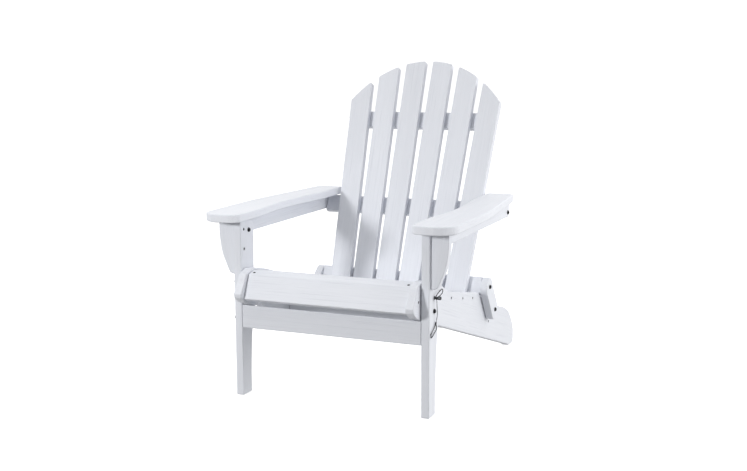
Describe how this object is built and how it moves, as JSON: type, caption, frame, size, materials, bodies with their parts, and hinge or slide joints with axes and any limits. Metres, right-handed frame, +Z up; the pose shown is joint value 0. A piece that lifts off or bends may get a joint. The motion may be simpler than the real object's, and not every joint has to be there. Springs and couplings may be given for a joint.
{
  "type": "folding adirondack chair",
  "caption": "Folding slatted garden armchair with a fanned reclined back, wide arms and a low sloping seat, in white poly lumber.",
  "frame": {"origin": "centre of the chair's overall box on the ground", "axes": "+Z up, the sitter faces -Y, +X to the viewer's right when facing the chair's front"},
  "size_m": [0.7544, 0.9492, 0.9491],
  "materials": {
    "white_poly_lumber": "satin, with a brushed wood grain along each board",
    "dark_fastener": "black oxide socket screws and bolts",
    "pin_steel": "dull turned steel"
  },
  "bodies": {
    "seat_frame": {"rail_screw_brace_left": "dark_fastener", "rail_screw_brace_right": "dark_fastener", "rail_screw_nose_left": "dark_fastener", "rail_screw_nose_right": "dark_fastener", "rail_screw_slat_4_left": "dark_fastener", "rail_screw_slat_4_right": "dark_fastener", "rail_screw_slat_5_left": "dark_fastener", "rail_screw_slat_5_right": "dark_fastener", "rail_screw_slat_6_left": "dark_fastener", "rail_screw_slat_6_right": "dark_fastener", "seat_brace_front": "white_poly_lumber", "seat_brace_rear": "white_poly_lumber", "seat_rail_left": "white_poly_lumber", "seat_rail_right": "white_poly_lumber", "seat_slat_1_nose": "white_poly_lumber", "seat_slat_2": "white_poly_lumber", "seat_slat_3": "white_poly_lumber", "seat_slat_4": "white_poly_lumber", "seat_slat_5": "white_poly_lumber", "seat_slat_6": "white_poly_lumber"},
    "legs": {"apron_screw_left": "dark_fastener", "apron_screw_right": "dark_fastener", "arm_bracket_left": "white_poly_lumber", "arm_bracket_right": "white_poly_lumber", "bracket_screw_1_left": "dark_fastener", "bracket_screw_1_right": "dark_fastener", "bracket_screw_2_left": "dark_fastener", "bracket_screw_2_right": "dark_fastener", "front_apron": "white_poly_lumber", "front_leg_left": "white_poly_lumber", "front_leg_right": "white_poly_lumber", "leg_pivot_bolt_left": "dark_fastener", "leg_pivot_bolt_right": "dark_fastener"},
    "arms": {"arm_pivot_bolt_left": "dark_fastener", "arm_pivot_bolt_right": "dark_fastener", "arm_rail_left": "white_poly_lumber", "arm_rail_right": "white_poly_lumber", "arm_rear_bolt_left": "dark_fastener", "arm_rear_bolt_right": "dark_fastener", "armrest_left": "white_poly_lumber", "armrest_right": "white_poly_lumber"},
    "links": {"back_link_left": "white_poly_lumber", "back_link_right": "white_poly_lumber", "link_foot_bolt_left": "dark_fastener", "link_foot_bolt_right": "dark_fastener", "link_top_bolt_left": "dark_fastener", "link_top_bolt_right": "dark_fastener"},
    "back": {"back_bar_lower": "white_poly_lumber", "back_bar_middle": "white_poly_lumber", "back_bar_top": "white_poly_lumber", "back_slat_1": "white_poly_lumber", "back_slat_2": "white_poly_lumber", "back_slat_3": "white_poly_lumber", "back_slat_4": "white_poly_lumber", "back_slat_5": "white_poly_lumber", "back_slat_6": "white_poly_lumber"},
    "lock_pin_right_side": {"lock_pin_right": "pin_steel", "pull_loop_right": "dark_fastener"},
    "lock_pin_left_side": {"lock_pin_left": "pin_steel", "pull_loop_left": "dark_fastener"}
  },
  "joints": [
    {"name": "leg_fold", "type": "hinge", "parent": "seat_frame", "child": "legs", "pos_m": [0, -0.3888, 0.29], "axis": [1, 0, 0], "range_deg": [0, 55]},
    {"name": "arm_hinge", "type": "hinge", "parent": "legs", "child": "arms", "pos_m": [0, -0.3778, 0.4765], "axis": [1, 0, 0], "range_deg": [-50, 0]},
    {"name": "link_hinge", "type": "hinge", "parent": "seat_frame", "child": "links", "pos_m": [0, 0.1728, 0.178], "axis": [1, 0, 0], "range_deg": [-14, 0]},
    {"name": "back_hinge", "type": "hinge", "parent": "links", "child": "back", "pos_m": [0, 0.1152, 0.2606], "axis": [1, 0, 0], "range_deg": [0, 60]},
    {"name": "lock_pin_right_pull", "type": "slide", "parent": "legs", "child": "lock_pin_right_side", "axis": [1, 0, 0], "range_m": [0, 0.04]},
    {"name": "lock_pin_left_pull", "type": "slide", "parent": "legs", "child": "lock_pin_left_side", "axis": [-1, 0, 0], "range_m": [0, 0.04]}
  ],
  "couplings": [
    {"joint": "arm_hinge", "follows": "leg_fold", "ratio": -0.8554},
    {"joint": "link_hinge", "follows": "leg_fold", "ratio": -0.2276},
    {"joint": "back_hinge", "follows": "leg_fold", "ratio": 1.0694}
  ]
}
